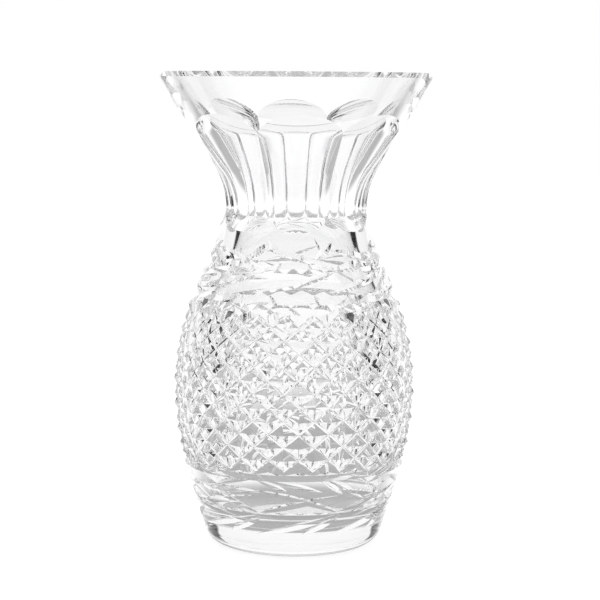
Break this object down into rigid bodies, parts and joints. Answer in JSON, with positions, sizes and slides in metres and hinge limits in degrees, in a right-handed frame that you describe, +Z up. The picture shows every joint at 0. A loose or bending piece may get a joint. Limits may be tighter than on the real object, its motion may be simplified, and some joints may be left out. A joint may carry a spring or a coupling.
{
  "type": "vase",
  "caption": "Waisted cut-crystal flower vase: flared rim, hollow-fluted neck, raised-diamond belly between leaf-cut bands, thick flat base.",
  "frame": {"origin": "centre of the base, on the surface the vase stands on", "axes": "+Z up along the turning axis, -Y towards the front, with a flute centred on the front"},
  "size_m": [0.1456, 0.1456, 0.254],
  "materials": {
    "crystal": "clear, polished"
  },
  "bodies": {
    "root": {"vase": "crystal"}
  },
  "joints": []
}
